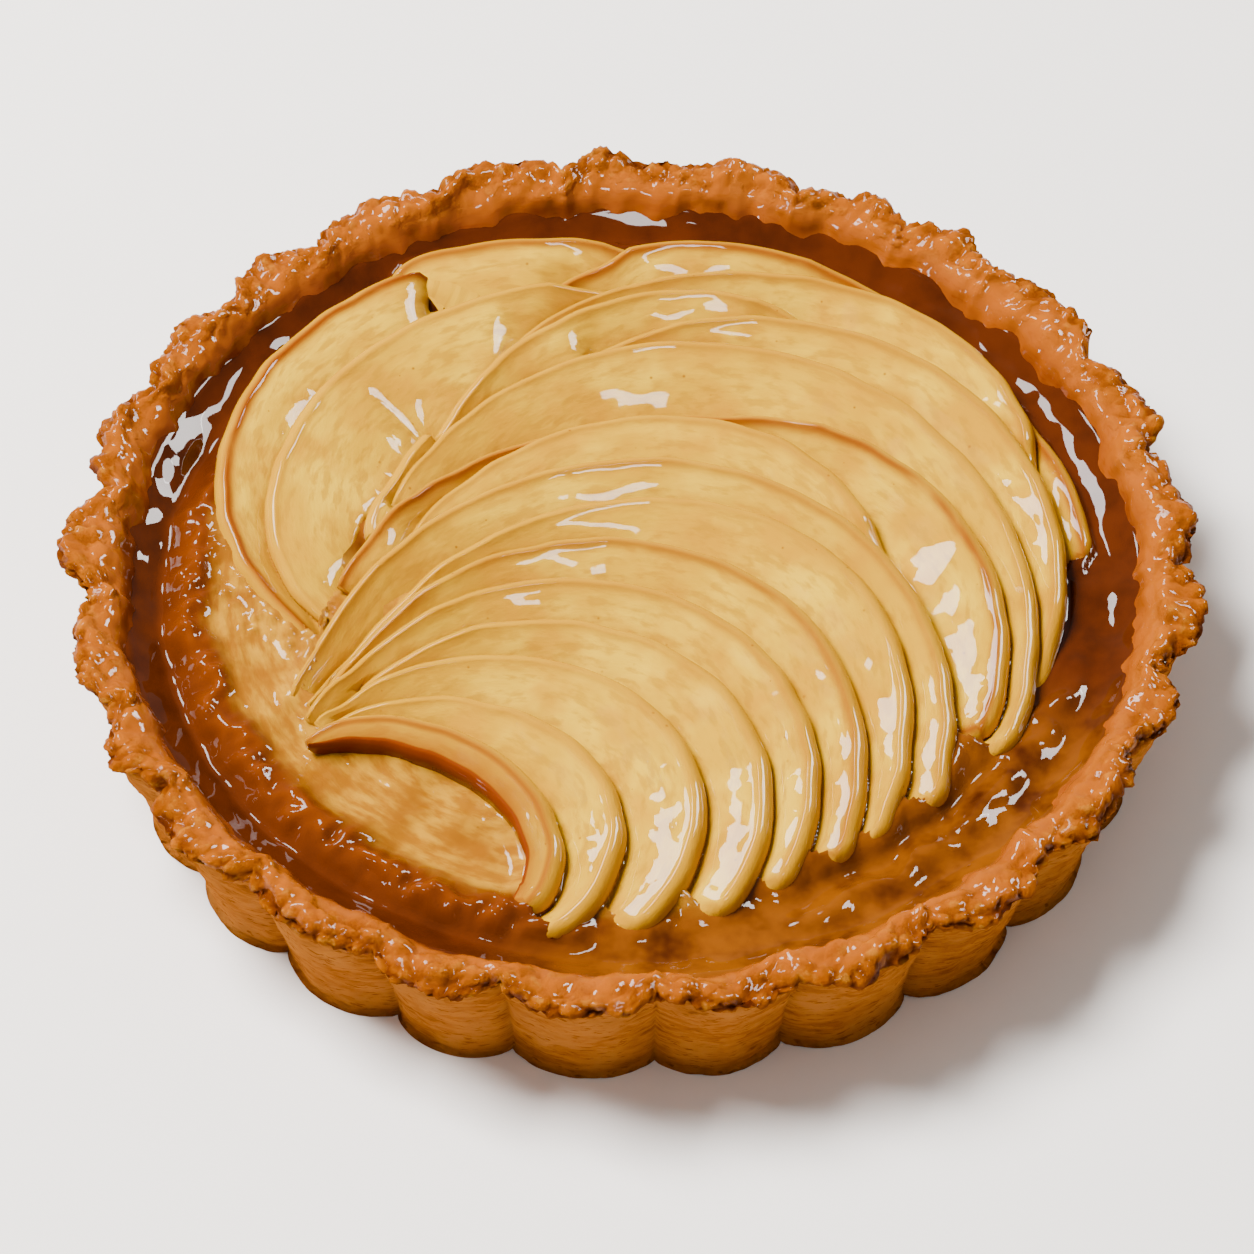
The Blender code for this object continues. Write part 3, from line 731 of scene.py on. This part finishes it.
def jelly(radius, angle):
    """The filling's height at this radius and angle in degrees, and its shares of pulp, roll and hollow."""
    turn = radians(angle)
    flat = Vector((radius * cos(turn), radius * sin(turn), 0.0))
    streams = Vector((18.0 * cos(turn), 18.0 * sin(turn), radius / 2.2))
    wander = 1.3 * noise.noise(Vector((9.0 * cos(turn), 9.0 * sin(turn), 4.0)))
    lumps = 0.7 + 0.6 * noise.noise(flat / 4.0) + 0.35 * noise.noise(flat / 1.8)
    roll = window(angle, *ROLL_ARC) * hump(radius - ROLL_RADIUS - wander, ROLL_WIDTH) * lumps
    inner = window(angle, *PULP_ARC) * clamped((ROLL_RADIUS - 1.0 + wander - radius) / 3.0)
    hollow = hump(hypot(flat.x - HOLLOW_X, flat.y - HOLLOW_Y), HOLLOW_WIDTH)
    inner *= 1.0 - hollow
    pulp = inner * (1.0 + 0.5 * noise.noise(flat / 7.0))
    right = angle if angle > 90.0 else angle + 360.0
    flood = window(right, *FLOOD_ARC) * clamped((51.5 - radius) / 2.5)
    ridge = window(angle, *RIDGE_ARC) * hump(radius - RIDGE_RADIUS - wander, RIDGE_WIDTH)
    ridge *= 0.8 + 0.6 * noise.noise(flat / 3.0)
    trough = window(right, *TROUGH_ARC) * hump(radius - TROUGH_RADIUS - wander, TROUGH_WIDTH)
    gutter = window(angle, *GUTTER_ARC) * hump(radius - GUTTER_RADIUS, GUTTER_WIDTH)
    # The jelly climbs the wall of the case
    climb = clamped(radius - 57.8, 0.0, 4.4)
    height = FILLING_LEVEL + ROLL_HEIGHT * roll + PULP_HEIGHT * inner + FLOOD_HEIGHT * flood
    height += RIDGE_HEIGHT * ridge - TROUGH_DEPTH * trough - GUTTER_DEPTH * gutter
    height += 0.22 * climb**1.6 + 0.45 * noise.noise(flat / 6.0) + 0.1 * noise.noise(streams)
    height += inner * (0.12 * noise.noise(streams * 1.7) + 0.05 * noise.noise(flat / 1.6))
    for x, y, reach in BUBBLES:
        close = 1.0 - hypot(flat.x - x, flat.y - y) / reach
        if close > 0.0:
            near = nearest_two(flat, BUBBLE_SPACING)[0]
            height += min(2.5 * close, 1.0) * BUBBLE_HEIGHT * sqrt(max(1.0 - (near / 0.5) ** 2, 0.0))
    return height, clamped(pulp), clamped(roll * 1.3), hollow


def jelly_material():
    material, tree, shader = new_material(
        "amber_jelly", Specular_IOR_Level=0.0, Coat_Weight=1.0, Coat_Roughness=0.02, Coat_IOR=1.25
    )
    here = coordinates(tree)
    pulp = painted(tree, "pulp")
    jelly_colour = mixed(tree, painted(tree, "front"), (0.060, 0.0105, 0.0006), (0.150, 0.040, 0.001))
    jelly_colour = mixed(tree, patch_mask(tree, here, 6.0, 0.4, 0.2), jelly_colour, (0.035, 0.006, 0.0005))
    fibres = patch_mask(tree, painted(tree, "stream", "Vector"), 1.0, 0.5, 0.15, 5.0)
    pulp_colour = mixed(tree, fibres, (0.26, 0.095, 0.0008), (0.42, 0.20, 0.006))
    pulp_colour = mixed(tree, patch_mask(tree, here, 5.0, 0.4, 0.2), pulp_colour, (0.22, 0.072, 0.0008))
    colour = mixed(tree, pulp, jelly_colour, pulp_colour)
    colour = mixed(tree, painted(tree, "roll"), colour, (0.125, 0.024, 0.0005))
    colour = mixed(tree, dot_mask(tree, here, 2.6, 0.12, 0.10), colour, (0.05, 0.01, 0.001))
    tree.links.new(colour, shader.inputs["Base Color"])
    ripple = cloud(tree, here, 0.9, 3.0)
    tree.links.new(sums(tree, "MULTIPLY_ADD", pulp, 0.12, 0.10), shader.inputs["Roughness"])
    bumped(tree, shader, sums(tree, "MULTIPLY_ADD", fibres, pulp, ripple), 0.2, 0.0003)
    return material


top_profile = [(radius, START_HEIGHT) for radius in reversed(TOP_RADII)]
bm, ring = turned([*HIDDEN_PROFILE, *top_profile], FILLING_COLUMNS)
pulp, roll, front = float_layers(bm, "pulp", "roll", "front")
stream = bm.verts.layers.float_vector.new("stream")
for vert in bm.verts:
    if vert[ring] < len(HIDDEN_PROFILE):
        continue
    radius = hypot(vert.co.x, vert.co.y)
    angle = degrees(atan2(vert.co.y, vert.co.x)) % 360.0
    vert.co.z, vert[pulp], vert[roll], hollow = jelly(radius, angle)
    vert[front] = max(window(angle, *FRONT_ARC), hollow)
    vert[stream] = Vector((12.0 * cos(radians(angle)), 12.0 * sin(radians(angle)), radius * 0.9))
    most = wall_radius(vert.co.z) + CASE_OVERLAP
    if radius > most:
        vert.co.xy = vert.co.xy.normalized() * most
    fruit = cover.ray_cast(Vector((vert.co.x, vert.co.y, 40.0)), Vector((0.0, 0.0, -1.0)))[0]
    # The jelly draws up to the fruit. It may drown its foot, but stays under its faces.
    if fruit:
        vert.co.z += MENISCUS
        if vert.co.z > fruit.z - FRUIT_CLEARANCE:
            turns = [k * pi / 4 for k in range(8)]
            round_it = [Vector((FRUIT_ROUND * cos(turn), FRUIT_ROUND * sin(turn), 0.0)) for turn in turns]
            if all(underside(cover, vert.co + offset) is not None for offset in round_it):
                vert.co.z = fruit.z - FRUIT_CLEARANCE
    elif radius < 56.0:
        vert.co.z += MENISCUS * hump(cover.find_nearest(vert.co)[3], MENISCUS_REACH)
filling = finished("compote_and_jelly", bm, jelly_material())
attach(filling, "root")
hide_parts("filling")

# The table under the tart is plain pale board.
bm = bmesh.new()
bmesh.ops.create_grid(bm, x_segments=1, y_segments=1, size=3.0)
board_mesh = bpy.data.meshes.new("floor")
bm.to_mesh(board_mesh)
bm.free()
board = bpy.data.objects.new("floor", board_mesh)
bpy.context.scene.collection.objects.link(board)
board_material, tree, shader = new_material("pale_board", Roughness=0.8, Specular_IOR_Level=0.1)
speckle = patch_mask(tree, coordinates(tree), 12.0, 0.5, 0.25)
board_colour = mixed(tree, speckle, (0.865, 0.845, 0.825), (0.875, 0.855, 0.835))
tree.links.new(board_colour, shader.inputs["Base Color"])
board_mesh.materials.append(board_material)


# Light: one large soft box high at the left, six reflecting cards that show only in the gloss, a pale room.
def softbox(name, place, size, radiance, colour, card):
    lamp = bpy.data.lights.new(name, "AREA")
    lamp.shape = "RECTANGLE"
    lamp.size, lamp.size_y = size
    lamp.energy = radiance * pi * size[0] * size[1]
    lamp.color = colour
    obj = bpy.data.objects.new(name, lamp)
    obj.location = place
    obj.rotation_euler = (-Vector(place)).to_track_quat("-Z", "Y").to_euler()
    obj.visible_diffuse = not card
    obj.visible_glossy = card
    bpy.context.scene.collection.objects.link(obj)


softbox("key_light", (-0.54, 0.20, 0.98), (0.50, 0.50), 66.0, (1.0, 0.965, 0.93), card=False)
softbox("key_card", (-0.54, 0.20, 0.98), (0.24, 0.24), 95.0, (1.0, 0.97, 0.94), card=True)
softbox("right_card", (0.64, 0.46, 0.58), (0.20, 0.20), 65.0, (1.0, 0.98, 0.95), card=True)
softbox("back_card", (-0.45, 0.49, 0.75), (0.26, 0.26), 60.0, (1.0, 0.98, 0.95), card=True)
softbox("top_card", (0.585, 0.34, 0.74), (0.22, 0.22), 60.0, (1.0, 0.98, 0.95), card=True)
softbox("front_card", (0.05, -0.36, 0.95), (0.22, 0.10), 60.0, (1.0, 0.98, 0.95), card=True)
softbox("left_card", (-0.80, -0.35, 0.32), (0.06, 0.20), 55.0, (0.93, 0.92, 1.0), card=True)
world = bpy.data.worlds.new("pale_room")
world.use_nodes = True
world.node_tree.nodes["Background"].inputs["Color"].default_value = (1.0, 0.93, 0.87, 1.0)
world.node_tree.nodes["Background"].inputs["Strength"].default_value = 0.5
bpy.context.scene.world = world

# The camera looks down over the front of the tart with a long lens.
CAMERA_HEIGHT_ANGLE = radians(48.92)
CAMERA_DISTANCE = 8 * RIM_RADIUS * MM
FRAME_PIXELS = 1254.0
FOCAL_PIXELS = 4588.0
CENTRE_PIXELS = (631.4, 544.0)
lens = bpy.data.cameras.new("camera")
lens.sensor_width = 36.0
lens.lens = FOCAL_PIXELS / FRAME_PIXELS * lens.sensor_width
lens.shift_x = (FRAME_PIXELS / 2 - CENTRE_PIXELS[0]) / FRAME_PIXELS
lens.shift_y = (CENTRE_PIXELS[1] - FRAME_PIXELS / 2) / FRAME_PIXELS
lens.clip_start = 0.01
camera = bpy.data.objects.new("camera", lens)
looking = Vector((0.0, cos(CAMERA_HEIGHT_ANGLE), -sin(CAMERA_HEIGHT_ANGLE)))
camera.location = Vector((0.0, 0.0, CASE_HEIGHT * MM)) - looking * CAMERA_DISTANCE
camera.rotation_euler = looking.to_track_quat("-Z", "Y").to_euler()
bpy.context.scene.collection.objects.link(camera)
bpy.context.scene.camera = camera
